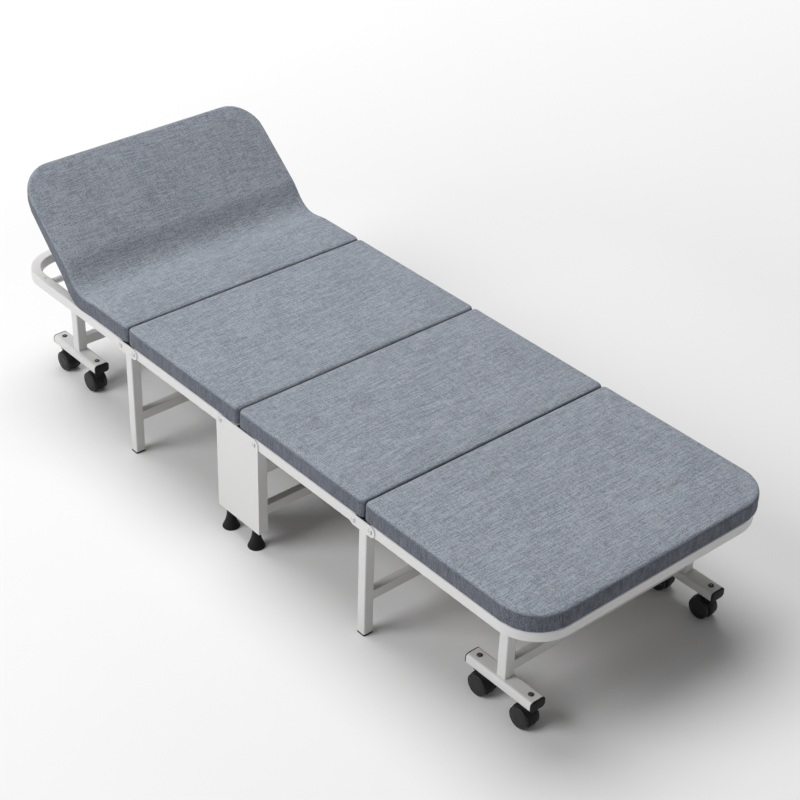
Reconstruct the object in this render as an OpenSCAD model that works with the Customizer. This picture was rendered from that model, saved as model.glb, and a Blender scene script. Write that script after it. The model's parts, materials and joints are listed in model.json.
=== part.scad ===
// Folding guest cot: four padded sections on a tube frame, a raised headrest and two caster frames.
// Origin on the floor under the middle, +X to the foot end, +Y to the left side, +Z up.

/* [Overall] */
// Half width of the frame over the side rails
half_w = 347; // [330:1:360]
// Height of the pivot row above the floor
pivot_z = 289; // [285:1:292]
// Distance from the middle to each end of the frame
end_x = 914; // [905:1:925]

/* [Tube frame] */
// Width of the rail tube
rail_w = 25; // [24:0.5:25]
// Height of the rail tube
rail_h = 26; // [25:0.5:26]
// Wall of the rail and leg tubes
wall = 1.5; // [1:0.1:2]
// Edge radius of the tubes
edge_r = 3; // [2:0.5:4]
// Outer plan radius of the frame corners
corner_r = 100; // [90:1:110]
// Side of the square cross tubes
cross_side = 20; // [16:1:22]

/* [Hinges] */
// Distance of the middle pivots from the centre plane
mid_pivot = 61; // [61:0.5:64]
// Distance between the pivots of a middle section
section_len = 335; // [330:1:340]
// Distance between the two pivots above an outer leg
leg_gap = 52; // [52:0.5:54]
// Radius of the hinge rivets
pin_r = 4; // [3.5:0.1:4.5]
// Radial clearance in the running bores
fit = 0.05; // [0.02:0.01:0.1]

/* [Legs] */
// Width of the outer leg tube along the cot
leg_w = 24; // [22:0.5:24]
// Underside of the middle leg plates
plate_z = 52; // [48:1:56]
// Depth of the middle leg channels
channel_d = 25; // [20:1:27]

/* [Caster frames] */
// Distance of the caster frame pivot from the centre plane
swing_x = 797; // [790:1:800]
// Inward offset of the posts from their pivot
post_off = 25; // [25:0.5:27]
// Distance of the posts from the long centre plane
post_y = 266; // [255:1:268]
// Length of the base tubes
base_len = 190; // [170:1:200]
// Wheel diameter
wheel_d = 50; // [48:1:52]

/* [Mattress] */
// Thickness of the foam pads
pad_t = 42; // [36:1:42]
// Thickness of the boards under the pads
board_t = 5; // [4:0.5:6]
// Gap between neighbouring pads
pad_gap = 5; // [4:0.5:8]
// Headrest angle
rest_angle = 40; // [0:1:60]
// Distance of the headrest hinge from the centre plane
tilt_x = 640; // [630:1:650]
// Length of the headrest from its hinge to its tip
tilt_len = 348; // [330:1:352]

/* [Hidden] */
$fn = 96;

paint = [0.9, 0.89, 0.88];
fabric = [0.5, 0.53, 0.58];
plastic = [0.07, 0.07, 0.08];
zinc = [0.62, 0.63, 0.64];
hardboard = [0.34, 0.28, 0.22];

// Heights
rail_top = pivot_z + rail_h / 2;
pad_z = rail_top + board_t;
// Pivots of the outer legs
leg_in = mid_pivot + section_len;
leg_out = leg_in + leg_gap;
leg_x = (leg_in + leg_out) / 2;
rail_y = half_w - rail_w / 2;
// Solid length of the rails beyond their hinge pivots
solid_end = 16;
// Hinge plates beside the rails
slide = 0.3;
plate_t = 2.2;
plate_y = half_w + slide;
plate_r = 13.5;
inner_plate_r = 12.5;
head_h = 1.5;
head_r = 5;
inner_y = half_w - rail_w - slide;
// Cross tubes of a middle section and of an end section
mid_bars = [mid_pivot + 40, leg_in - 45];
end_bars = [leg_out + 60, tilt_x - 35];
// Middle leg plate: half length, corner radius, feet
plate_half = mid_pivot + plate_r;
foot_x = 47;
foot_y = plate_y + plate_t - channel_d / 2;
foot_r = 20;
foot_neck_r = 9;
web_t = 3;
// Section of the long cross bars, and their undersides
bar_h = 25;
leg_bar_z = 87;
caster_bar_z = 98;
// Cross bars of the middle legs: distance from the centre plane, underside, height
centre_bar_x = 47;
centre_low_z = 82;
centre_high_z = 194;
centre_high_h = 36;
// Outer legs: end wall under the top, height and half width of the bracket's weld seat, shoes
leg_cap_t = 4;
seat_half = 9;
seat_h = 20;
shoe_h = 14;
shoe_floor = 4.5;
loose = 0.1;
// Pads and boards
pad_half = half_w - 0.5;
pad_end = end_x - 5;
pad_corner_r = 88;
board_edge = 6;
board_half = pad_half - board_edge;
board_lip = 5;
board_gap = 2;
tilt_edge = 26;
// The pads swing about the middle pivots inside this radius
swing_r = mid_pivot - 1;
// Headrest hinge
tilt_z = 296;
tilt_clear = 52;
board_clear = 26;
lug_in = half_w - rail_w - 6;
arm_y = 303;
arm_w = 25;
arm_t = 5;
arm_start = 8;
arm_end = 241;
arm_r = 72;
eye_t = 4;
eye_r = 9;
eye_y = lug_in - eye_t - 0.7;
eye_link = 30;
pin_head = 2;
pin_head_r = 6;
tilt_pad_in = 3;
tilt_board_in = 12;
// Toothed disc of the headrest and the lug under it
ratchet_teeth = 24;
tooth_r = 11;
root_r = 9.5;
ratchet_t = 6;
lug_t = 4;
lug_size = [36, 14];
lug_back = 14;
lug_drop = 11;
// Caster frame
swing_z = 286;
swing_r_out = 8;
sleeve_r = 11;
post_side = 25;
post_x = swing_x - post_off;
wheel_r = wheel_d / 2;
base_h = 25;
base_r = 8;
cap_t = 2.5;
cap_plug = 8;
washer_r = 6.5;
bolt_r = 5;
base_w = 40;
base_z = 62;
base_wall = 2;
stem_x = 74;
stem_r = 4;
trail = 13;
axle_r = 3;
hood_half = 10;
hood_r = wheel_r + 2;
hood_low = 10;
neck_r = 9;
tread = 9;

// Rectangle with round corners, centred
module rounded(w, h, r) {
  square([w - 2 * r, h], center = true);
  square([w, h - 2 * r], center = true);
  for (sx = [-1, 1], sy = [-1, 1])
    translate([sx * (w / 2 - r), sy * (h / 2 - r)]) circle(r);
}

// Straight bar along X from x0 to x1 with a rounded section, centred at y, z
module bar_x(x0, x1, y, z, w, h, r) {
  translate([x0, y, z]) rotate([90, 0, 90]) linear_extrude(x1 - x0) rounded(w, h, r);
}

// Square tube along Y between y0 and y1, centred at x, z
module tube_y(x, z, y0, y1, w, h, r = 2, t = 1.2) {
  translate([x, y1, z]) rotate([90, 0, 0]) linear_extrude(y1 - y0) difference() {
    rounded(w, h, r);
    rounded(w - 2 * t, h - 2 * t, r - t / 2);
  }
}

// Pin along Y between y0 and y1
module pin_y(x, z, y0, y1, r) {
  translate([x, y1, z]) rotate([90, 0, 0]) cylinder(r = r, h = y1 - y0);
}

// Flat outline with round ends about two pivots, thick along Y
module link_plate(x0, x1, z, y0, y1, r) {
  translate([0, y1, z]) rotate([90, 0, 0]) linear_extrude(y1 - y0) {
    translate([x0, -r]) square([x1 - x0, 2 * r]);
    translate([x0, 0]) circle(r);
    translate([x1, 0]) circle(r);
  }
}

module both_sides() {
  children();
  mirror([0, 1, 0]) children();
}

// Put a head-end shape, drawn at -X, at the head (end = -1) or the foot (end = 1)
module at_end(end) {
  if (end < 0) children();
  else mirror([1, 0, 0]) children();
}

// ---- middle legs ----
module centre_leg(side) {
  color(paint) scale([1, side, 1]) difference() {
    union() {
      translate([0, plate_y + plate_t, 0]) rotate([90, 0, 0]) linear_extrude(plate_t) {
        translate([-plate_half, plate_z])
          square([2 * plate_half, pivot_z - plate_z]);
        translate([-mid_pivot, pivot_z - 1]) square([2 * mid_pivot, plate_r + 1]);
        for (s = [-1, 1]) translate([s * mid_pivot, pivot_z]) circle(plate_r);
      }
      for (s = [-1, 1])
        translate([s * (plate_half - plate_t / 2) - plate_t / 2, plate_y + plate_t - channel_d, plate_z])
          cube([plate_t, channel_d, pivot_z - rail_h / 2 - web_t - plate_z]);
      translate([-plate_half, plate_y + plate_t - channel_d, plate_z])
        cube([2 * plate_half, channel_d, web_t]);
    }
    for (s = [-1, 1]) {
      pin_y(s * mid_pivot, pivot_z, plate_y - 1, plate_y + plate_t + 1, pin_r + fit);
      translate([s * foot_x, foot_y, plate_z - 1]) cylinder(r = pin_r + fit, h = web_t + 2);
    }
  }
}
module centre_leg_left() { centre_leg(1); }
module centre_leg_right() { centre_leg(-1); }

module centre_crossbars() {
  color(paint) {
    tube_y(centre_bar_x, centre_low_z + bar_h / 2, -plate_y, plate_y, cross_side, bar_h);
    for (x = [-centre_bar_x, centre_bar_x])
      tube_y(x, centre_high_z + centre_high_h / 2, -plate_y, plate_y, cross_side, centre_high_h);
  }
}

// Hinge rivets: a shank through plate and rail, a head on each end
module rivets(xs) {
  color(zinc) both_sides() for (x = xs) {
    pin_y(x, pivot_z, inner_y - plate_t, plate_y + plate_t, pin_r);
    pin_y(x, pivot_z, plate_y + plate_t, plate_y + plate_t + head_h, head_r);
    pin_y(x, pivot_z, inner_y - plate_t - head_h, inner_y - plate_t, head_r);
  }
}
module centre_rivets() { rivets([-mid_pivot, mid_pivot]); }

// Suction foot: wide lip, waisted neck, threaded stud through the leg's bottom web
module suction_foot() {
  rotate_extrude() polygon([
    [0, 3], [11, 3], [17, 0], [foot_r, 0], [foot_r, 3], [17.5, 11], [13.5, 19], [10.5, 28],
    [foot_neck_r, 38], [foot_neck_r, plate_z], [pin_r, plate_z], [pin_r, plate_z + 12], [0, plate_z + 12]]);
}
module suction_feet() {
  color(plastic) for (sx = [-1, 1], sy = [-1, 1])
    translate([sx * foot_x, sy * foot_y, 0]) suction_foot();
}

// ---- middle sections ----
module mid_rails() {
  color(paint) both_sides() difference() {
    intersection() {
      bar_x(-leg_in - rail_h / 2, -mid_pivot + rail_h / 2, rail_y, pivot_z, rail_w, rail_h, edge_r);
      link_plate(-leg_in, -mid_pivot, pivot_z, rail_y - rail_w, rail_y + rail_w, rail_h / 2);
    }
    bar_x(-leg_in + solid_end, -mid_pivot - solid_end, rail_y, pivot_z,
      rail_w - 2 * wall, rail_h - 2 * wall, edge_r - 1);
    for (x = [-leg_in, -mid_pivot])
      pin_y(x, pivot_z, rail_y - rail_w, rail_y + rail_w, pin_r + fit);
  }
}
module crossbars(xs) {
  color(paint) for (x = xs)
    tube_y(-x, rail_top - cross_side / 2, rail_w - half_w, half_w - rail_w, cross_side, cross_side);
}
module mid_board() {
  x_end = leg_x - pad_gap / 2 - board_gap;
  color(hardboard) translate([-x_end, -board_half, rail_top])
    cube([x_end - mid_pivot + board_lip, 2 * board_half, board_t]);
}
// Foam block of a middle section, its inner end rounded about the middle pivot
module mid_pad() {
  x_end = leg_x - pad_gap / 2;
  color(fabric) translate([0, pad_half, 0]) rotate([90, 0, 0]) linear_extrude(2 * pad_half) {
    translate([-x_end, pad_z]) square([x_end - mid_pivot, pad_t]);
    intersection() {
      translate([-mid_pivot, pivot_z]) circle(swing_r);
      translate([-mid_pivot - 1, pad_z]) square([swing_r + 1, pad_t]);
    }
  }
}

// ---- outer legs ----
module leg_tubes() {
  color(paint) both_sides() translate([-leg_x, rail_y, shoe_floor]) difference() {
    linear_extrude(rail_top - 1 - shoe_floor) rounded(leg_w, rail_w, edge_r);
    translate([0, 0, -1]) linear_extrude(rail_top - 1 - leg_cap_t - shoe_floor)
      rounded(leg_w - 2 * wall, rail_w - 2 * wall, edge_r - 1);
  }
}
module leg_crossbar() {
  color(paint)
    tube_y(-leg_x, leg_bar_z + bar_h / 2, rail_w - half_w, half_w - rail_w, cross_side, bar_h);
}
module leg_brackets() {
  color(paint) both_sides() difference() {
    union() {
      link_plate(-leg_out, -leg_in, pivot_z, plate_y, plate_y + plate_t, plate_r);
      link_plate(-leg_out, -leg_in, pivot_z, inner_y - plate_t, inner_y, inner_plate_r);
      for (y = [half_w, inner_y])
        translate([-leg_x - seat_half, y, pivot_z - seat_h / 2]) cube([2 * seat_half, slide, seat_h]);
    }
    for (x = [-leg_out, -leg_in])
      pin_y(x, pivot_z, inner_y - 5, plate_y + 5, pin_r + fit);
  }
}
module leg_rivets() { rivets([-leg_out, -leg_in]); }
module leg_shoes() {
  color(plastic) both_sides() translate([-leg_x, rail_y, 0]) {
    linear_extrude(shoe_floor) rounded(leg_w, rail_w, edge_r);
    linear_extrude(shoe_h)
      rounded(leg_w - 2 * (wall + loose), rail_w - 2 * (wall + loose), edge_r - 1);
  }
}

// ---- end sections ----
// Half of a U of rounded section: side rail, corner and half of the end rail
module u_half(x_in, w, h, r) {
  bend = corner_r - rail_w / 2;
  cx = -end_x + corner_r;
  cy = half_w - corner_r;
  bar_x(cx, x_in, rail_y, pivot_z, w, h, r);
  translate([cx, cy, pivot_z]) rotate([0, 0, 90]) rotate_extrude(angle = 90)
    translate([bend, 0]) rounded(w, h, r);
  translate([-end_x + rail_w / 2, cy, pivot_z]) rotate([90, 0, 0])
    linear_extrude(cy) rounded(w, h, r);
}
module end_frame() {
  color(paint) difference() {
    both_sides() intersection() {
      u_half(-leg_out + rail_h / 2, rail_w, rail_h, edge_r);
      union() {
        link_plate(-leg_out - 60, -leg_out, pivot_z, rail_y - rail_w, rail_y + rail_w, rail_h / 2);
        translate([-end_x - 1, -1, pivot_z - rail_h])
          cube([end_x - leg_out, half_w + 2, 2 * rail_h]);
      }
    }
    both_sides() u_half(-leg_out - solid_end, rail_w - 2 * wall, rail_h - 2 * wall, edge_r - 1);
    both_sides() pin_y(-leg_out, pivot_z, rail_y - rail_w, rail_y + rail_w, pin_r + fit);
  }
}
module pivot_tube() {
  color(paint) translate([-swing_x, half_w - rail_w, swing_z]) rotate([90, 0, 0]) difference() {
    cylinder(r = swing_r_out, h = 2 * (half_w - rail_w));
    translate([0, 0, -1]) cylinder(r = swing_r_out - wall, h = 2 * half_w);
  }
}
// Slab from x_in out to x_end with round outer corners
module end_slab(z0, z1, x_in, x_end, half, r) {
  translate([0, 0, z0]) linear_extrude(z1 - z0) {
    translate([-x_end + r, -half]) square([x_end - r - x_in, 2 * half]);
    translate([-x_end, -half + r]) square([r + 1, 2 * (half - r)]);
    for (s = [-1, 1]) translate([-x_end + r, s * (half - r)]) circle(r);
  }
}
pad_in = leg_x + pad_gap / 2;
module head_board() {
  color(hardboard) translate([-tilt_x + board_clear, -board_half, rail_top])
    cube([tilt_x - board_clear - pad_in - board_gap, 2 * board_half, board_t]);
}
module head_pad() {
  color(fabric) translate([-tilt_x + tilt_clear, -pad_half, pad_z])
    cube([tilt_x - tilt_clear - pad_in, 2 * pad_half, pad_t]);
}
module foot_board() {
  color(hardboard) at_end(1)
    end_slab(rail_top, pad_z, pad_in + board_gap, pad_end - board_edge, board_half, pad_corner_r - board_edge);
}
module foot_pad() {
  color(fabric) at_end(1) end_slab(pad_z, pad_z + pad_t, pad_in, pad_end, pad_half, pad_corner_r);
}

// ---- headrest ----
// Toothed plate on the rail, about the headrest hinge
module ratchet_plates() {
  color(zinc) both_sides() difference() {
    union() {
      translate([-tilt_x, half_w - rail_w, tilt_z]) rotate([90, 0, 0]) linear_extrude(ratchet_t)
        polygon([for (i = [0 : 2 * ratchet_teeth - 1])
          let (a = i * 180 / ratchet_teeth, r = i % 2 == 0 ? tooth_r : root_r) r * [cos(a), sin(a)]]);
      translate([-tilt_x - lug_back, half_w - rail_w - lug_t, pivot_z - lug_drop])
        cube([lug_size[0], lug_t, lug_size[1]]);
    }
    pin_y(-tilt_x, tilt_z, lug_in - 1, half_w - rail_w + 1, pin_r + fit);
    translate([-tilt_x - 50, lug_in - 1, rail_top]) cube([100, 20, 20]);
  }
}
// The headrest is drawn flat and turned up about its hinge
module tilted() {
  translate([-tilt_x, 0, tilt_z]) rotate([0, rest_angle, 0]) translate([tilt_x, 0, -tilt_z]) children();
}
module headrest_frame() {
  color(zinc) tilted() difference() {
    union() {
      difference() {
        end_slab(rail_top - arm_t, rail_top, tilt_x + arm_start, tilt_x + arm_end, arm_y + arm_w / 2, arm_r);
        end_slab(rail_top - arm_t - 1, rail_top + 1, tilt_x, tilt_x + arm_end - arm_w,
          arm_y - arm_w / 2, arm_r - arm_w);
      }
      both_sides() {
        link_plate(-tilt_x - eye_link, -tilt_x, tilt_z, eye_y, eye_y + eye_t, rail_top - tilt_z);
        pin_y(-tilt_x, tilt_z, eye_y, eye_y + eye_t, eye_r);
      }
    }
    both_sides() pin_y(-tilt_x, tilt_z, eye_y - 1, eye_y + eye_t + 1, pin_r + fit);
    translate([-tilt_x - 50, -half_w, rail_top]) cube([100, 2 * half_w, 20]);
  }
}
module headrest_pins() {
  color(zinc) tilted() both_sides() {
    pin_y(-tilt_x, tilt_z, eye_y - pin_head, half_w - rail_w - slide, pin_r);
    pin_y(-tilt_x, tilt_z, eye_y - pin_head, eye_y, pin_head_r);
  }
}
// The headrest's board is narrower, because the pad wraps round it
module headrest_board() {
  color(hardboard) tilted() end_slab(rail_top, pad_z, tilt_x + tilt_board_in,
    tilt_x + tilt_len - tilt_edge, pad_half - tilt_edge, pad_corner_r - tilt_edge);
}
module headrest_pad() {
  color(fabric) tilted() end_slab(pad_z, pad_z + pad_t, tilt_x + tilt_pad_in, tilt_x + tilt_len,
    pad_half, pad_corner_r);
}

// ---- caster frames ----
module caster_frame() {
  color(paint) difference() {
    union() {
      both_sides() {
        translate([-post_x, post_y, base_z + base_h - 1])
          linear_extrude(swing_z + swing_r_out - base_z - base_h + 1) rounded(post_side, post_side, edge_r);
        translate([-swing_x, post_y - post_side / 2, swing_z - swing_r_out])
          cube([post_off, post_side, 2 * swing_r_out]);
        pin_y(-swing_x, swing_z, post_y - post_side / 2, post_y + post_side / 2, sleeve_r);
        difference() {
          bar_x(-post_x - base_len / 2 + cap_t, -post_x + base_len / 2 - cap_t, post_y,
            base_z + base_h / 2, base_w, base_h, base_r);
          bar_x(-post_x - base_len / 2, -post_x + base_len / 2, post_y, base_z + base_h / 2,
            base_w - 2 * base_wall, base_h - 2 * base_wall, base_r - base_wall);
        }
      }
      tube_y(-post_x, caster_bar_z + bar_h / 2, -post_y, post_y, cross_side, bar_h);
    }
    both_sides() {
      pin_y(-swing_x, swing_z, post_y - post_side, post_y + post_side, swing_r_out + fit);
      for (s = [-1, 1])
        translate([-post_x + s * stem_x, post_y, base_z - 1]) cylinder(r = stem_r + fit, h = base_h + 2);
    }
  }
}
// End caps: a full face outside the tube and a plug inside it
module caster_plugs() {
  inner = base_wall + loose;
  color(plastic) both_sides() for (s = [-1, 1])
    translate([-post_x + s * (base_len / 2 - cap_t), post_y, base_z + base_h / 2]) rotate([90, 0, s * 90]) {
      linear_extrude(cap_t) rounded(base_w, base_h, base_r);
      translate([0, 0, -cap_plug]) linear_extrude(cap_plug + 1)
        rounded(base_w - 2 * inner, base_h - 2 * inner, base_r - inner);
    }
}
module caster_bolts() {
  color(plastic) both_sides() for (s = [-1, 1])
    translate([-post_x + s * stem_x, post_y, base_z + base_h]) {
      cylinder(r = washer_r, h = 1);
      translate([0, 0, 1]) cylinder(r = bolt_r, h = 2);
    }
}

// ---- casters: numbers 1 to 4 at the head, 5 to 8 at the foot ----
function caster_x(i) = (i < 5 ? -post_x : post_x) + (i % 2 == 1 ? -stem_x : stem_x);
function caster_y(i) = (floor((i - 1) / 2) % 2 == 0 ? -1 : 1) * post_y;
// Each wheel trails its stem towards the post
module at_caster(i) {
  translate([caster_x(i), caster_y(i), 0]) rotate([0, 0, i % 2 == 1 ? 180 : 0]) children();
}

module caster_housing(i) {
  color(plastic) at_caster(i) difference() {
    union() {
      difference() {
        pin_y(-trail, wheel_r, -hood_half, hood_half, hood_r);
        translate([-trail - hood_r, -hood_r, hood_low - 2 * hood_r]) cube(2 * hood_r);
      }
      translate([0, 0, wheel_r + trail]) cylinder(r = neck_r, h = base_z - slide - wheel_r - trail);
      translate([0, 0, base_z - 1]) cylinder(r = stem_r, h = base_h);
    }
    pin_y(-trail, wheel_r, -hood_r, hood_r, axle_r + fit);
  }
}
// Two wheels on one axle, outside the hood
module caster_wheels(i) {
  color(plastic) at_caster(i) {
    both_sides() translate([-trail, hood_half + slide + tread, wheel_r]) rotate([90, 0, 0])
      rotate_extrude() polygon([[0, 0], [wheel_r - 2, 0], [wheel_r, 2], [wheel_r, tread - 1],
        [wheel_r - 1, tread], [0, tread]]);
    pin_y(-trail, wheel_r, -hood_half - 2, hood_half + 2, axle_r);
  }
}

centre_leg_left();
centre_leg_right();
centre_crossbars();
centre_rivets();
suction_feet();
mid_rails();  // mid_head_rails
crossbars(mid_bars);  // mid_head_crossbars
mid_board();  // mid_head_board
mid_pad();  // mid_head_pad
at_end(1) mid_rails();  // mid_foot_rails
at_end(1) crossbars(mid_bars);  // mid_foot_crossbars
at_end(1) mid_board();  // mid_foot_board
at_end(1) mid_pad();  // mid_foot_pad
leg_tubes();  // head_leg_tubes
leg_crossbar();  // head_leg_crossbar
leg_brackets();  // head_leg_brackets
leg_rivets();  // head_leg_rivets
leg_shoes();  // head_leg_shoes
at_end(1) leg_tubes();  // foot_leg_tubes
at_end(1) leg_crossbar();  // foot_leg_crossbar
at_end(1) leg_brackets();  // foot_leg_brackets
at_end(1) leg_rivets();  // foot_leg_rivets
at_end(1) leg_shoes();  // foot_leg_shoes
end_frame();  // head_frame
crossbars(end_bars);  // head_crossbars
head_board();
head_pad();
pivot_tube();  // head_pivot_tube
ratchet_plates();
headrest_frame();
headrest_board();
headrest_pad();
headrest_pins();
at_end(1) end_frame();  // foot_frame
at_end(1) crossbars(end_bars);  // foot_crossbars
foot_board();
foot_pad();
at_end(1) pivot_tube();  // foot_pivot_tube
caster_frame();  // head_caster_frame
caster_plugs();  // head_caster_plugs
caster_bolts();  // head_caster_bolts
at_end(1) caster_frame();  // foot_caster_frame
at_end(1) caster_plugs();  // foot_caster_plugs
at_end(1) caster_bolts();  // foot_caster_bolts
caster_housing(1);  // caster_1_housing
caster_wheels(1);  // caster_1_wheels
caster_housing(2);  // caster_2_housing
caster_wheels(2);  // caster_2_wheels
caster_housing(3);  // caster_3_housing
caster_wheels(3);  // caster_3_wheels
caster_housing(4);  // caster_4_housing
caster_wheels(4);  // caster_4_wheels
caster_housing(5);  // caster_5_housing
caster_wheels(5);  // caster_5_wheels
caster_housing(6);  // caster_6_housing
caster_wheels(6);  // caster_6_wheels
caster_housing(7);  // caster_7_housing
caster_wheels(7);  // caster_7_wheels
caster_housing(8);  // caster_8_housing
caster_wheels(8);  // caster_8_wheels
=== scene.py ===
"""Looks of the folding cot: upholstered pads, powder-coated tubes, casters and feet."""
import json
import math

import bmesh
import bpy
import numpy as np
from mathutils import Matrix, Vector


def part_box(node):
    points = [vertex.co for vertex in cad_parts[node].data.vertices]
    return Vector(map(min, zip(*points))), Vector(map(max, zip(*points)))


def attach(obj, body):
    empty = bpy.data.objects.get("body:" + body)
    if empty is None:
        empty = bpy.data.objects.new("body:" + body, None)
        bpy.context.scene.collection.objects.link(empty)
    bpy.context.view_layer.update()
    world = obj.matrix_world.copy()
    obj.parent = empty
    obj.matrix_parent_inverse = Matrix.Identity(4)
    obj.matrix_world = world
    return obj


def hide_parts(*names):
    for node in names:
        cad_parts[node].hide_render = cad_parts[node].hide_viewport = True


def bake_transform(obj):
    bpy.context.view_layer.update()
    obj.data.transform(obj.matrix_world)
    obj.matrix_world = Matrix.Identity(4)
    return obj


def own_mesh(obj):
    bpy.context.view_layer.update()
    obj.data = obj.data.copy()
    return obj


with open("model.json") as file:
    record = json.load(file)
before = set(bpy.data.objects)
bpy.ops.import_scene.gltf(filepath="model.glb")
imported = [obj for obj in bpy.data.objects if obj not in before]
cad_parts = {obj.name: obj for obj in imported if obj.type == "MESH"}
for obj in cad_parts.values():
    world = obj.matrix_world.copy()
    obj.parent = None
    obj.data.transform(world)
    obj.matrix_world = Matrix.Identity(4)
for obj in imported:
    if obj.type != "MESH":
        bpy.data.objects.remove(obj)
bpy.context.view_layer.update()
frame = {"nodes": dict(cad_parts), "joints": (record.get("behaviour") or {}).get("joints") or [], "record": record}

MM = 0.001
ENDS = {"head": -1, "foot": 1}
SIDES = (-1, 1)
CASTERS = {"head": range(1, 5), "foot": range(5, 9)}


# ---------------------------------------------------------------- places taken from the frame
def low(node):
    """Lowest corner of a CAD node."""
    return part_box(node)[0]


def high(node):
    """Highest corner of a CAD node."""
    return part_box(node)[1]


def joint(name):
    """Row of the frame's table for one joint."""
    return next(j for j in frame["joints"] if j["name"] == name)


# Rails and their pivots
RAIL_TOP = high("mid_head_rails")[2]
RAIL_OUT = high("mid_head_rails")[1]
PIVOT_Z = joint("head_fold")["pos_m"][2]
RAIL_R = RAIL_TOP - PIVOT_Z
# Pads: top, half width, foot end, and the seam over the outer legs
PAD_TOP = high("foot_pad")[2]
PAD_HALF = RAIL_OUT + 0.2 * MM
FOOT_END = high("foot_frame")[0] - 1 * MM
SEAM_X = (low("foot_pad")[0] + high("mid_foot_pad")[0]) / 2
GAP = low("foot_pad")[0] - high("mid_foot_pad")[0]
# Headrest: hinge, angle at rest, length of its pad beyond the hinge
HINGE = Vector(joint("headrest_tilt")["pos_m"])
REST_TILT = -math.radians(joint("headrest_tilt")["range_deg"][0])
TIP = 0.351


# ---------------------------------------------------------------- node materials
class Shader:
    """A principled material with short calls for its nodes."""

    def __init__(self, name, color, roughness, **sockets):
        self.material = bpy.data.materials.new(name)
        self.material.use_nodes = True
        self.tree = self.material.node_tree
        self.bsdf = self.tree.nodes["Principled BSDF"]
        self.bsdf.inputs["Base Color"].default_value = (*color, 1)
        self.bsdf.inputs["Roughness"].default_value = roughness
        for socket, value in sockets.items():
            self.bsdf.inputs[socket.replace("_", " ")].default_value = value
        self.coords = self.tree.nodes.new("ShaderNodeTexCoord").outputs["Object"]

    def link(self, value, socket):
        """Join a node's output to a socket, or set the socket to a plain value."""
        if isinstance(value, bpy.types.NodeSocket):
            self.tree.links.new(value, socket)
        else:
            socket.default_value = value

    def noise(self, scale, detail=3.0, rough=0.55):
        """Noise stretched by a scale per axis, in cycles per metre."""
        mapping = self.tree.nodes.new("ShaderNodeMapping")
        self.link(self.coords, mapping.inputs["Vector"])
        mapping.inputs["Scale"].default_value = scale
        node = self.tree.nodes.new("ShaderNodeTexNoise")
        node.inputs["Scale"].default_value = 1.0
        node.inputs["Detail"].default_value = detail
        node.inputs["Roughness"].default_value = rough
        self.link(mapping.outputs[0], node.inputs["Vector"])
        return node.outputs["Fac"]

    def math(self, operation, a, b):
        """Result of a sum or product of two values."""
        node = self.tree.nodes.new("ShaderNodeMath")
        node.operation = operation
        self.link(a, node.inputs[0])
        self.link(b, node.inputs[1])
        return node.outputs[0]

    def spread(self, value, lo, hi, to_lo=0.0, to_hi=1.0):
        """Value mapped from lo..hi to to_lo..to_hi, clamped."""
        node = self.tree.nodes.new("ShaderNodeMapRange")
        for socket, v in zip(("Value", "From Min", "From Max", "To Min", "To Max"),
                             (value, lo, hi, to_lo, to_hi)):
            self.link(v, node.inputs[socket])
        return node.outputs[0]

    def mix(self, factor, a, b):
        """Colour between a at factor 0 and b at factor 1."""
        node = self.tree.nodes.new("ShaderNodeMix")
        node.data_type = "RGBA"
        self.link(factor, node.inputs["Factor"])
        for value, socket in ((a, node.inputs[6]), (b, node.inputs[7])):
            self.link(value if isinstance(value, bpy.types.NodeSocket) else (*value, 1), socket)
        return node.outputs[2]

    def attribute(self, name):
        """Value stored on the mesh's points."""
        node = self.tree.nodes.new("ShaderNodeAttribute")
        node.attribute_name = name
        return node.outputs["Fac"]

    def color(self, value):
        """Base colour from a node."""
        self.link(value, self.bsdf.inputs["Base Color"])

    def roughness(self, value):
        """Roughness from a node."""
        self.link(value, self.bsdf.inputs["Roughness"])

    def bump(self, height, distance, strength):
        """Relief of a height over a distance in metres."""
        node = self.tree.nodes.new("ShaderNodeBump")
        node.inputs["Distance"].default_value = distance
        node.inputs["Strength"].default_value = strength
        self.link(height, node.inputs["Height"])
        self.link(node.outputs[0], self.bsdf.inputs["Normal"])


def paint_material():
    """White powder coat with faint clouding and orange peel."""
    s = Shader("white_powder_coat", (0.68, 0.675, 0.67), 0.36)
    cloud = s.noise((9, 9, 9), 2)
    s.color(s.mix(cloud, (0.665, 0.66, 0.655), (0.70, 0.695, 0.69)))
    peel = s.noise((900, 900, 900), 2, 0.5)
    s.roughness(s.spread(s.noise((60, 60, 60), 3), 0.3, 0.7, 0.34, 0.48))
    s.bump(peel, 0.0001, 0.35)
    return s.material


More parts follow.
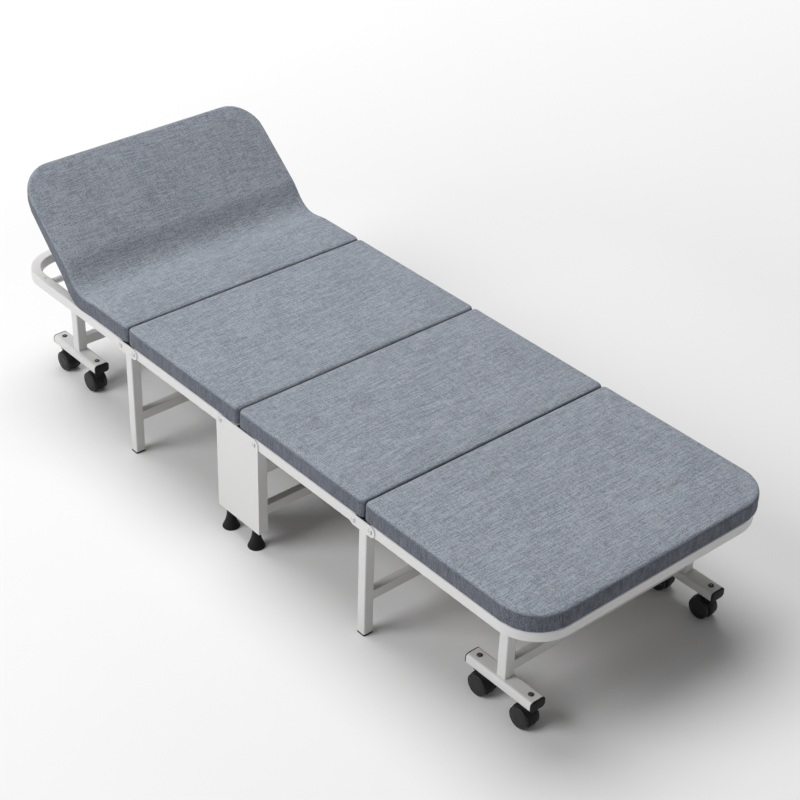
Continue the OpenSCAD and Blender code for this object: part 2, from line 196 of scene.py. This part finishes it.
def fabric_material():
    """Heathered linen: slubs run across the cot on top and upright on the sides, and the sides are painted darker
    as shade.
    """
    s = Shader("linen_weave", (0.2, 0.23, 0.27), 0.95)
    s.bsdf.inputs["Sheen Weight"].default_value = 0.08
    s.bsdf.inputs["Sheen Roughness"].default_value = 0.5
    side = s.attribute("side")

    def both(top, edge):
        """One value on the pad's top and another on its sides."""
        a = s.math("MULTIPLY", top, s.math("SUBTRACT", 1.0, side))
        return s.math("ADD", a, s.math("MULTIPLY", edge, side))

    slub = both(s.noise((650, 28, 650), 4, 0.6), s.noise((650, 650, 32), 4, 0.6))
    thread = both(s.noise((1500, 140, 1500), 2, 0.6), s.noise((1500, 1500, 140), 2, 0.6))
    cross = both(s.noise((32, 620, 32), 4, 0.6), s.noise((620, 40, 40), 4, 0.6))
    speck = s.noise((470, 470, 470), 3, 0.75)
    cloud = s.noise((6, 6, 6), 2, 0.5)
    tone = s.math("MULTIPLY", slub, 0.4)
    for layer, share in ((cross, 0.24), (thread, 0.25), (speck, 0.58), (cloud, 0.06)):
        tone = s.math("ADD", tone, s.math("MULTIPLY", layer, share))
    level = s.spread(tone, 0.69, 0.83)
    top_color = s.mix(level, (0.125, 0.141, 0.172), (0.322, 0.350, 0.396))
    # Painted shade: the pad's sides get a darker copy of the top's colour, standing in for the shade that falls on
    # them.
    shaded_side_color = s.mix(level, (0.056, 0.062, 0.080), (0.160, 0.174, 0.212))
    flecks = s.spread(slub, 0.56, 0.70)
    top_color = s.mix(s.math("MULTIPLY", flecks, 0.25), top_color, (0.37, 0.40, 0.44))
    # Points on the pad's sides take the painted shade colour.
    s.color(s.mix(side, top_color, shaded_side_color))
    relief = s.math("ADD", s.math("MULTIPLY", thread, 0.6), s.math("MULTIPLY", slub, 0.6))
    s.bump(relief, 0.0006, 0.7)
    return s.material


def plastic_material(name, color, roughness, grain, shine):
    """Moulded plastic with a fine grain."""
    s = Shader(name, color, roughness, Specular_IOR_Level=shine)
    cloud = s.noise((40, 40, 40), 2)
    s.color(s.mix(cloud, color, tuple(1.5 * c for c in color)))
    s.roughness(s.spread(s.noise((160, 160, 160), 3), 0.3, 0.7, roughness - 0.06, roughness + 0.08))
    s.bump(s.noise((grain, grain, grain), 2, 0.5), 0.0001, 0.5)
    return s.material


def metal_material(name, color, roughness):
    """Bare steel with uneven polish."""
    s = Shader(name, color, roughness, Metallic=1.0)
    s.color(s.mix(s.noise((35, 35, 35), 3), color, tuple(min(1, 1.2 * c) for c in color)))
    s.roughness(s.spread(s.noise((300, 300, 300), 3), 0.3, 0.7, roughness - 0.08, roughness + 0.1))
    s.bump(s.noise((700, 700, 700), 2, 0.5), 0.00005, 0.4)
    return s.material


def board_material():
    """Hardboard with faint fibres along Y; its dark brown is partly a guess at its own colour and partly painted
    shade, so that the thin line of it under the pads reads as the shade there.
    """
    s = Shader("hardboard", (0.11, 0.085, 0.062), 0.7)
    grain = s.noise((60, 260, 60), 4, 0.6)
    # Dark colour: partly the board's guessed own colour, partly painted shade for the line of board seen under the
    # pads.
    s.color(s.mix(s.spread(grain, 0.35, 0.65), (0.085, 0.064, 0.047), (0.15, 0.115, 0.085)))
    s.bump(grain, 0.0002, 0.4)
    return s.material


PAINT = paint_material()
FABRIC = fabric_material()
BLACK = plastic_material("black_plastic", (0.006, 0.006, 0.007), 0.5, 1200, 0.25)
TREAD = plastic_material("wheel_plastic", (0.013, 0.013, 0.014), 0.5, 900, 0.4)
BOLT = plastic_material("black_bolt", (0.03, 0.03, 0.032), 0.35, 700, 0.5)
RIVET = metal_material("rivet_steel", (0.62, 0.62, 0.62), 0.6)
ZINC = metal_material("zinc_steel", (0.50, 0.51, 0.52), 0.36)
BOARD = board_material()
SLOTS = {"white_paint": PAINT, "fabric": FABRIC, "board": BOARD, "black_plastic": BLACK,
         "wheel_plastic": TREAD, "black_bolt": BOLT, "rivet_steel": RIVET, "zinc_steel": ZINC}


def paint_cad_nodes():
    """Give each CAD node the material of its slot in the record."""
    for part in frame["record"]["subparts"]:
        obj = frame["nodes"][part["node"]]
        obj.data.materials.clear()
        obj.data.materials.append(SLOTS[part["material_slot"]])


# ---------------------------------------------------------------- mesh helpers
def new_object(name, bm, slot, smooth=True):
    """Object made of a bmesh, with its slot's material."""
    mesh = bpy.data.meshes.new(name)
    bmesh.ops.recalc_face_normals(bm, faces=bm.faces)
    bm.to_mesh(mesh)
    bm.free()
    for face in mesh.polygons:
        face.use_smooth = smooth
    mesh.materials.append(SLOTS[slot])
    obj = bpy.data.objects.new(name, mesh)
    bpy.context.scene.collection.objects.link(obj)
    return obj


def apply_modifiers(obj):
    """Replace the mesh by the one that its modifiers give."""
    graph = bpy.context.evaluated_depsgraph_get()
    mesh = bpy.data.meshes.new_from_object(obj.evaluated_get(graph))
    obj.modifiers.clear()
    old = obj.data
    obj.data = mesh
    bpy.data.meshes.remove(old)


def rounded_outline(x0, x1, half, r0, r1, corner, straight):
    """Points round a rectangle in XY, corner radius r0 at x0 and r1 at x1.

    Each corner has so many steps as corner says, and each side as straight says.
    """
    centres = [(x1 - r1, half - r1, r1, 0), (x0 + r0, half - r0, r0, 90),
               (x0 + r0, -half + r0, r0, 180), (x1 - r1, -half + r1, r1, 270)]
    corners = []
    for cx, cy, r, start in centres:
        turns = [math.radians(start + 90 * i / corner) for i in range(corner + 1)]
        corners.append([(cx + r * math.cos(a), cy + r * math.sin(a)) for a in turns])
    points = []
    for i, arc in enumerate(corners):
        points += arc
        a, b = arc[-1], corners[(i + 1) % 4][0]
        points += [(a[0] + (b[0] - a[0]) * k / straight, a[1] + (b[1] - a[1]) * k / straight)
                   for k in range(1, straight)]
    return points


def loft(bm, rings):
    """Skin equal-length closed rings of 3-D points, with a face on each end."""
    loops = [[bm.verts.new(p) for p in ring] for ring in rings]
    n = len(loops[0])
    for a, b in zip(loops, loops[1:]):
        for i in range(n):
            bm.faces.new((a[i], a[(i + 1) % n], b[(i + 1) % n], b[i]))
    bm.faces.new(loops[0])
    bm.faces.new(loops[-1])


def millimetres(profile, way=1):
    """Points (radius, height) turned from millimetres to metres, with the height along way."""
    return [(r * MM, way * h * MM) for r, h in profile]


def lathe(bm, profile, centre, axis, segments):
    """Turn (radius, height) points about the y or z axis through centre."""
    turn = Matrix.Rotation(math.radians(-90 if axis == "y" else 0), 3, "X")
    rings = []
    for r, h in profile:
        r = max(r, 1e-5)
        rings.append([Vector(centre) + turn @ Vector((r * math.cos(a), r * math.sin(a), h))
                      for a in (2 * math.pi * i / segments for i in range(segments))])
    loft(bm, rings)


def rounded_block(bm, lo, hi, r):
    """Box with all its upright edges and rims rounded by r."""
    cx, cy = (lo[0] + hi[0]) / 2, (lo[1] + hi[1]) / 2
    rings = []
    turns = np.linspace(0, math.pi / 2, 4)
    profile = [(r - r * math.sin(t), lo[2] + r - r * math.cos(t)) for t in turns]
    profile += [(r - r * math.cos(t), hi[2] - r + r * math.sin(t)) for t in turns]
    for inset, z in profile:
        half_x, half_y = (hi[0] - lo[0]) / 2 - inset, (hi[1] - lo[1]) / 2 - inset
        rad = max(r * 1.2 - inset, 2e-4)
        ring = rounded_outline(cx - half_x, cx + half_x, half_y, rad, rad, 5, 2)
        rings.append([(x, y + cy, z) for x, y in ring])
    loft(bm, rings)


# ---------------------------------------------------------------- pads
# Size of the remesh, and the most that the simulation may move a point
VOXEL = 0.005
PAD_CAP = 0.0015
STEPS = 20
# Radii along the top and bottom edges, and across the plan's corners
EDGE_R = 0.008
TUCK_R = 0.002
INNER_R = 0.012
OUTER_R = 0.088
# How much smaller the simulated shape starts, and how far the finished pad passes its place
SLACK = 0.002
FULL = 0.0009
SWELL = 0.0018
SKIN_Z = RAIL_TOP + 0.0006
PIN_HEIGHT = 0.003
# Headrest: half length of the bend, and how far the back draws in at the sides and top
BEND_HALF = 0.075
BACK_IN = 0.017
BACK_UP = 0.006


def pad_shell(x0, x1, r0, r1):
    """Boxed foam shape with round top edges, a little smaller than the finished pad."""
    bm = bmesh.new()
    z0, z1 = SKIN_Z, PAD_TOP - SLACK
    half = PAD_HALF - SLACK
    rings = []
    profile = [(TUCK_R * (1 - math.sin(t)), z0 + TUCK_R * (1 - math.cos(t)))
               for t in np.linspace(0, math.pi / 2, 4)]
    profile += [(EDGE_R * (1 - math.cos(t)), z1 - EDGE_R * (1 - math.sin(t)))
                for t in np.linspace(0, math.pi / 2, 8)]
    for inset, z in profile:
        ring = rounded_outline(x0 + inset, x1 - inset, half - inset, r0 - inset, r1 - inset, 12, 14)
        rings.append([(x, y, z) for x, y in ring])
    loft(bm, rings)
    return bm


def swell(obj, pinned_below):
    """Cloth under pressure with the underside pinned, each point's travel capped."""
    group = obj.vertex_groups.new(name="pin")
    rest = np.array([v.co for v in obj.data.vertices])
    flat = [i for i, p in enumerate(rest) if p[2] < pinned_below]
    group.add(flat, 1.0, "REPLACE")
    cloth = obj.modifiers.new("cloth", "CLOTH")
    settings = cloth.settings
    settings.quality = 4
    settings.mass = 0.25
    settings.tension_stiffness = 22
    settings.compression_stiffness = 22
    settings.shear_stiffness = 12
    settings.bending_stiffness = 6
    settings.use_pressure = True
    settings.uniform_pressure_force = 9
    settings.vertex_group_mass = "pin"
    settings.effector_weights.gravity = 0
    cloth.point_cache.frame_start = 1
    cloth.point_cache.frame_end = STEPS
    scene = bpy.context.scene
    for step in range(1, STEPS + 1):
        scene.frame_set(step)
    graph = bpy.context.evaluated_depsgraph_get()
    moved = np.array([v.co for v in obj.evaluated_get(graph).data.vertices])
    scene.frame_set(1)
    obj.modifiers.clear()
    obj.vertex_groups.clear()
    travel = moved - rest
    length = np.linalg.norm(travel, axis=1, keepdims=True)
    travel *= np.tanh(length / PAD_CAP) * PAD_CAP / np.maximum(length, 1e-9)
    obj.data.vertices.foreach_set("co", (rest + travel).ravel())
    obj.data.update()


def finish_pad(obj):
    """Remesh, swell, smooth and store how far each point belongs to the pad's side."""
    remesh = obj.modifiers.new("remesh", "REMESH")
    remesh.mode = "VOXEL"
    remesh.voxel_size = VOXEL
    remesh.use_smooth_shade = True
    apply_modifiers(obj)
    soften = obj.modifiers.new("soften", "SMOOTH")
    soften.factor = 0.5
    soften.iterations = 2
    apply_modifiers(obj)
    swell(obj, SKIN_Z + PIN_HEIGHT)
    finer = obj.modifiers.new("finer", "SUBSURF")
    finer.levels = finer.render_levels = 1
    apply_modifiers(obj)
    mesh = obj.data
    normals = np.empty(3 * len(mesh.vertices), np.float32)
    mesh.vertex_normals.foreach_get("vector", normals)
    flatness = np.abs(normals.reshape(-1, 3)[:, 2])
    # How far each point faces sideways; the fabric uses it for the weave's way and for painted shade on the sides.
    side = 1 - np.clip((flatness - 0.25) / 0.45, 0, 1)
    mesh.attributes.new("side", "FLOAT", "POINT").data.foreach_set("value", side.astype(np.float32))
    for face in mesh.polygons:
        face.use_smooth = True


def stretch(obj, lo, hi):
    """Scale a pad along each axis so that it fills the box from lo to hi."""
    points = np.array([v.co for v in obj.data.vertices])
    at, size = points.min(axis=0), np.ptp(points, axis=0)
    points = np.array(lo) + (points - at) * (np.array(hi) - np.array(lo)) / size
    obj.data.vertices.foreach_set("co", points.ravel())
    obj.data.update()


def make_pad(name, x0, x1, r0, r1, *nodes):
    """Pad from x0 to x1, with corner radius r0 and r1 there, in place of its CAD nodes."""
    obj = new_object(name, pad_shell(x0 + SLACK, x1 - SLACK, r0, r1), "fabric")
    finish_pad(obj)
    stretch(obj, (x0 - SWELL, -PAD_HALF, SKIN_Z), (x1 + SWELL, PAD_HALF, PAD_TOP + FULL))
    obj.data.materials.clear()
    obj.data.materials.append(FABRIC)
    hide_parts(*nodes)
    return obj


def taper_headrest(obj):
    """Draw the headrest's back in towards its top, so that its side band thins out there."""
    for v in obj.data.vertices:
        t = min(max((HINGE.x - v.co.x) / TIP, 0), 1)
        depth = min(max((PAD_TOP - v.co.z) / (PAD_TOP - SKIN_Z), 0), 1)
        v.co.y *= 1 - BACK_IN / PAD_HALF * t * depth
        v.co.x += BACK_UP * t * depth
    obj.data.update()


def bend_head_pad(obj, start, end):
    """Turn the upper part of the head pad up about the headrest hinge.
    """
    hinge, way = np.array(HINGE), np.array(end - start)
    flat = np.array([v.co for v in obj.data.vertices]) - hinge
    bent = flat.copy()
    share = np.zeros(len(flat))
    for _ in range(40):
        angle = REST_TILT * share
        bent[:, 0] = flat[:, 0] * np.cos(angle) + flat[:, 2] * np.sin(angle)
        bent[:, 2] = flat[:, 2] * np.cos(angle) - flat[:, 0] * np.sin(angle)
        t = np.clip((bent + hinge - np.array(start)) @ way / (way @ way), 0, 1)
        share += 0.5 * (t * t * (3 - 2 * t) - share)
    obj.data.vertices.foreach_set("co", (bent + hinge).ravel())
    obj.data.update()


def build_pads():
    """One pad per section; the head pad bends across the headrest hinge."""
    edge = SEAM_X + GAP / 2
    near = SEAM_X - GAP / 2
    foot = make_pad("foot_pad_cover", edge, FOOT_END, INNER_R, OUTER_R, "foot_pad")
    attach(foot, "foot_section")
    for end, s in ENDS.items():
        x0, x1 = sorted((s * GAP / 2, s * near))
        pad = make_pad(f"mid_{end}_pad_cover", x0, x1, INNER_R, INNER_R, f"mid_{end}_pad")
        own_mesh(pad)
        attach(pad, f"mid_{end}_section")
    head = make_pad("head_pad_cover", HINGE.x - TIP, -edge, OUTER_R, INNER_R,
                    "head_pad", "headrest_pad")
    taper_headrest(head)
    up = Vector((-math.cos(REST_TILT / 2), 0, math.sin(REST_TILT / 2)))
    middle = HINGE + Vector((0, 0, PAD_TOP - HINGE.z)) * 0.5
    start, end = middle - up * BEND_HALF, middle + up * BEND_HALF
    bend_head_pad(head, start, end)
    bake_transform(head)


# ---------------------------------------------------------------- small hard pieces
def prism_y(bm, outline, y0, y1, bevel=0.0006):
    """Extrude (x, z) points along Y, with the two rims bevelled towards the middle."""
    cx = sum(x for x, z in outline) / len(outline)
    cz = sum(z for x, z in outline) / len(outline)
    reach = max(math.hypot(x - cx, z - cz) for x, z in outline)
    k = 1 - bevel / reach
    inner = [(cx + (x - cx) * k, cz + (z - cz) * k) for x, z in outline]
    loft(bm, [[(x, y, z) for x, z in ring] for ring, y in
              ((inner, y0), (outline, y0 + bevel), (outline, y1 - bevel), (inner, y1))])


def feet():
    """Trumpet-shaped suction feet."""
    profile = [(0, 2.5), (12, 2.5), (17, 0.2), (19.6, 0), (20, 0.6), (20, 2), (19.4, 3.6), (17.8, 7.4),
               (15.8, 12), (13.7, 17.6), (11.8, 24), (10.3, 31), (9.4, 38), (9, 44), (9, 51.8), (0, 52)]
    bm = bmesh.new()
    lo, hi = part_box("suction_feet")
    radius = 20 * MM
    for x in (lo[0] + radius, hi[0] - radius):
        for y in (lo[1] + radius, hi[1] - radius):
            lathe(bm, millimetres(profile), (x, y, 0), "z", 48)
    obj = new_object("suction_feet_smooth", bm, "black_plastic")
    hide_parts("suction_feet")
    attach(obj, "centre_legs")


RIVET_HEAD = 1.5 * MM


def rivet_caps(name, node, body, xs):
    """Rolled heads with a dimple over the flat ones, each on a thin seat ring."""
    face = high(node)[1] - RIVET_HEAD
    caps, seats = bmesh.new(), bmesh.new()
    dome = [(0, 0.2), (5.7, 0.2), (5.7, 0.9), (5.3, 1.7), (4.5, 2.3), (3.7, 2.5), (3.1, 2.3),
            (2.6, 1.7), (0, 1.6)]
    seat = [(5.0, 0.05), (7.0, 0.05), (7.0, 0.3), (6.7, 0.5), (5.0, 0.5)]
    for x in xs:
        for s in SIDES:
            place = (x, s * face, PIVOT_Z)
            lathe(caps, millimetres(dome, s), place, "y", 32)
            lathe(seats, millimetres(seat, s), place, "y", 32)
    for bm, part, slot in ((caps, "caps", "rivet_steel"), (seats, "seats", "zinc_steel")):
        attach(new_object(f"{name}_rivet_{part}", bm, slot), body)


# Black rail ends: how far they stand out of the round end, and their inner and outer faces
PLUG_OUT = 0.25 * MM
PLUG_FACES = (RAIL_OUT - 24.9 * MM, RAIL_OUT - 0.1 * MM)


def rail_plugs(name, body, ends):
    """Black caps on the round rail ends; ends holds (pivot x, way the end points)."""
    bm = bmesh.new()
    radius = RAIL_R + PLUG_OUT
    for x, way in ends:
        turns = [math.radians(a) for a in range(-75, 76, 10)]
        outline = [(x + way * radius * math.cos(a), PIVOT_Z + radius * math.sin(a)) for a in turns]
        for s in SIDES:
            y0, y1 = sorted(s * y for y in PLUG_FACES)
            prism_y(bm, outline, y0, y1)
    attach(new_object(f"{name}_rail_plugs", bm, "black_plastic"), body)


def leg_caps(end):
    """Closing plugs on the upper ends of the outer leg tubes."""
    bm = bmesh.new()
    lo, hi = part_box(f"{end}_leg_tubes")
    for side in SIDES:
        y0, y1 = sorted((side * (hi[1] - 0.5 * MM), side * (hi[1] - 24.5 * MM)))
        rounded_block(bm, (lo[0] + 0.5 * MM, y0, hi[2] - MM),
                      (hi[0] - 0.5 * MM, y1, hi[2] + 0.9 * MM), 0.9 * MM)
    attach(new_object(f"{end}_leg_caps", bm, "black_plastic"), f"{end}_leg")


BUMPER_HALF = 4.6 * MM


def bumpers():
    """Black buffers inside the middle plates, between the rail ends."""
    bm = bmesh.new()
    for side in SIDES:
        y0, y1 = sorted((side * (RAIL_OUT - 22 * MM), side * (RAIL_OUT + 0.2 * MM)))
        rounded_block(bm, (-BUMPER_HALF, y0, RAIL_TOP - 22 * MM),
                      (BUMPER_HALF, y1, RAIL_TOP - 0.4 * MM), MM)
    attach(new_object("centre_bumpers", bm, "black_plastic"), "centre_legs")


def bolt_heads(end):
    """Button heads with a hollow drive over the stems of the casters."""
    bolts, drives = bmesh.new(), bmesh.new()
    head = [(0, 1.1), (2.4, 1.1), (2.7, 2.8), (3.4, 3.1), (4.4, 2.7), (5.0, 1.7), (5.2, 1.0),
            (6.3, 0.9), (6.5, 0.5), (6.5, 0.02)]
    drive = [(0, 1.15), (2.2, 1.15), (2.2, 1.5), (0, 1.5)]
    low_z = low(f"{end}_caster_bolts")[2]
    for i in CASTERS[end]:
        x, y = joint(f"caster_{i}_swivel_turn")["pos_m"][:2]
        lathe(bolts, millimetres(head), (x, y, low_z), "z", 32)
        lathe(drives, millimetres(drive), (x, y, low_z), "z", 6)
    obj = new_object(f"{end}_bolt_heads", bolts, "black_bolt")
    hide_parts(f"{end}_caster_bolts")
    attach(obj, f"{end}_casters")
    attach(new_object(f"{end}_bolt_drives", drives, "zinc_steel", smooth=False), f"{end}_casters")


def base_caps(end):
    """Slightly domed faces over the end caps of the base tubes."""
    bm = bmesh.new()
    lo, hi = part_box(f"{end}_caster_plugs")
    half_y, half_z, z_mid = 20 * MM, (hi[2] - lo[2]) / 2, (hi[2] + lo[2]) / 2
    for side in SIDES:
        for x, way in ((lo[0], -1), (hi[0], 1)):
            rings = []
            for out, inset in ((-0.8, 0.9), (0.1, 0.9), (0.7, 1.5), (1.0, 3.0)):
                r = (8 - inset) * MM
                wide, tall = half_y - inset * MM, half_z - inset * MM
                ring = rounded_outline(-wide, wide, tall, r, r, 8, 3)
                rings.append([(x + way * out * MM, side * (hi[1] - half_y) + u, z_mid + v)
                              for u, v in ring])
            loft(bm, rings)
    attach(new_object(f"{end}_base_caps", bm, "black_plastic"), f"{end}_casters")


def rail_screws():
    """Pan heads on the top of the rails, over the pivot tubes' fixings."""
    bm = bmesh.new()
    profile = [(0, 0.9), (1.6, 0.9), (2.6, 0.7), (3.1, 0.3), (3.1, -0.5), (0, -0.5)]
    x = joint("head_caster_swing")["pos_m"][0]
    for side in SIDES:
        place = (x, side * (RAIL_OUT - 12.5 * MM), RAIL_TOP)
        lathe(bm, millimetres(profile), place, "z", 24)
    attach(new_object("head_rail_screws", bm, "zinc_steel"), "head_section")


# Hood: radius, half width, how far under the hub it is cut off; outer face of a wheel
HOOD_R = 27 * MM
HOOD_HALF = 10 * MM
HOOD_CUT = 15 * MM
WHEEL_FACE = 19.3 * MM


def caster(i):
    """Twin-wheel caster: hood between two plain discs, neck and collar round the stem."""
    stem = joint(f"caster_{i}_swivel_turn")["pos_m"]
    hub = Vector(joint(f"caster_{i}_roll")["pos_m"])
    bm = bmesh.new()
    start = -math.asin(HOOD_CUT / HOOD_R)
    turns = [start + (math.pi - 2 * start) * k / 40 for k in range(41)]
    outline = [(hub.x + HOOD_R * math.cos(a), hub.z + HOOD_R * math.sin(a)) for a in turns]
    prism_y(bm, outline, hub.y - HOOD_HALF, hub.y + HOOD_HALF, 1.5 * MM)
    neck = [(0, -24), (8.6, -24), (8.8, -14), (9.4, -10), (11.6, -8.2), (12, -7.4), (12, -5.2),
            (11.4, -4.4), (7, -4), (6.6, -0.3), (0, -0.3)]
    lathe(bm, millimetres(neck), stem, "z", 40)
    hood = new_object(f"caster_{i}_hood", bm, "black_plastic")
    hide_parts(f"caster_{i}_housing")
    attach(hood, f"caster_{i}_swivel")
    bm = bmesh.new()
    disc = [(0, -9.0), (22.8, -9.0), (24.4, -8.6), (25, -7.6), (25, -2.2), (24.7, -1.1), (23.8, -0.35),
            (22.4, 0), (21.9, -0.5), (21.2, -0.5), (20.8, -0.05), (12, 0.25), (0, 0.3)]
    for s in SIDES:
        place = (hub.x, hub.y + s * (WHEEL_FACE - 0.3 * MM), hub.z)
        lathe(bm, millimetres(disc, s), place, "y", 56)
    wheels = new_object(f"caster_{i}_discs", bm, "wheel_plastic")
    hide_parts(f"caster_{i}_wheels")
    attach(wheels, f"caster_{i}_wheel")


def build_hardware():
    """All small pieces, on the bodies that carry them."""
    feet()
    bumpers()
    rail_screws()
    mid = abs(joint("head_fold")["pos_m"][0])
    inner = abs(joint("head_leg_fold")["pos_m"][0])
    outer = abs(joint("head_section_fold")["pos_m"][0])
    rivet_caps("centre", "centre_rivets", "centre_legs", (-mid, mid))
    for end, s in ENDS.items():
        rivet_caps(end, f"{end}_leg_rivets", f"{end}_leg", (s * inner, s * outer))
        rail_plugs(f"mid_{end}", f"mid_{end}_section", ((s * inner, s),))
        rail_plugs(end, f"{end}_section", ((s * outer, -s),))
        leg_caps(end)
        bolt_heads(end)
        base_caps(end)
    for i in (*CASTERS["head"], *CASTERS["foot"]):
        caster(i)


# ---------------------------------------------------------------- stage
# Floor: half size, the range over which its glow grows, and the full glow
FLOOR_SIZE = 60
GLOW_FROM, GLOW_TO = 1.5, 8.0
GLOW = 0.7


def floor_material():
    """Paper that glows a little far from the object, where the lights fall off."""
    s = Shader("floor_paper", (0.80, 0.80, 0.80), 0.9)
    s.color(s.mix(s.noise((2, 2, 2), 2), (0.79, 0.79, 0.79), (0.81, 0.81, 0.81)))
    distance = s.tree.nodes.new("ShaderNodeVectorMath")
    distance.operation = "LENGTH"
    s.link(s.coords, distance.inputs[0])
    s.bsdf.inputs["Emission Color"].default_value = (1, 1, 1, 1)
    s.link(s.spread(distance.outputs["Value"], GLOW_FROM, GLOW_TO, 0.0, GLOW),
           s.bsdf.inputs["Emission Strength"])
    return s.material


def build_stage():
    """Plain pale floor under the object."""
    bm = bmesh.new()
    bmesh.ops.create_grid(bm, x_segments=1, y_segments=1, size=FLOOR_SIZE)
    mesh = bpy.data.meshes.new("floor")
    bm.to_mesh(mesh)
    bm.free()
    floor = bpy.data.objects.new("floor", mesh)
    bpy.context.scene.collection.objects.link(floor)
    mesh.materials.append(floor_material())


def area_light(name, place, target, size, power):
    """Round lamp that faces a target."""
    data = bpy.data.lights.new(name, "AREA")
    data.shape = "DISK"
    data.size = size
    data.energy = power
    obj = bpy.data.objects.new(name, data)
    obj.location = place
    obj.rotation_euler = (Vector(target) - Vector(place)).to_track_quat("-Z", "Y").to_euler()
    bpy.context.scene.collection.objects.link(obj)


WORLD_LIGHT = 0.20
BACKDROP = 0.90


def build_lights():
    """Two large lamps, a dim even light and a pale backdrop above the horizon."""
    world = bpy.data.worlds.new("studio")
    world.use_nodes = True
    background = world.node_tree.nodes["Background"]
    background.inputs["Color"].default_value = (1, 1, 1, 1)
    strength = world.node_tree.nodes.new("ShaderNodeMapRange")
    strength.inputs["To Min"].default_value = WORLD_LIGHT
    strength.inputs["To Max"].default_value = BACKDROP
    seen = world.node_tree.nodes.new("ShaderNodeLightPath").outputs["Is Camera Ray"]
    world.node_tree.links.new(seen, strength.inputs["Value"])
    world.node_tree.links.new(strength.outputs[0], background.inputs["Strength"])
    bpy.context.scene.world = world
    area_light("key", (-1.9, -6.4, 5.4), (0, 0, 0.2), 5.0, 395)
    area_light("top", (-2.2, 0.6, 6.7), (0, 0, 0.3), 6.0, 385)


# Camera: place, heading, tilt and roll in degrees, focal length on a 36 mm sensor
CAMERA_AT = (2.6758, -2.2739, 2.5820)
CAMERA_TURN = (48.177, 33.820, 1.928)
LENS = 83.36


def build_camera():
    """Camera without shift or depth of field."""
    data = bpy.data.cameras.new("camera")
    data.sensor_width = 36
    data.lens = LENS
    data.clip_end = 100
    azimuth, elevation, roll = map(math.radians, CAMERA_TURN)
    back = Vector((math.sin(azimuth) * math.cos(elevation), -math.cos(azimuth) * math.cos(elevation),
                   math.sin(elevation)))
    right = Vector((math.cos(azimuth), math.sin(azimuth), 0))
    up = back.cross(right)
    right_rolled = math.cos(roll) * right + math.sin(roll) * up
    up_rolled = -math.sin(roll) * right + math.cos(roll) * up
    turn = Matrix((right_rolled, up_rolled, back)).transposed()
    camera = bpy.data.objects.new("camera", data)
    camera.matrix_world = Matrix.Translation(CAMERA_AT) @ turn.to_4x4()
    bpy.context.scene.collection.objects.link(camera)
    bpy.context.scene.camera = camera
    bpy.context.scene.view_settings.view_transform = "Standard"


build_camera()
build_stage()
build_lights()
paint_cad_nodes()
build_pads()
build_hardware()
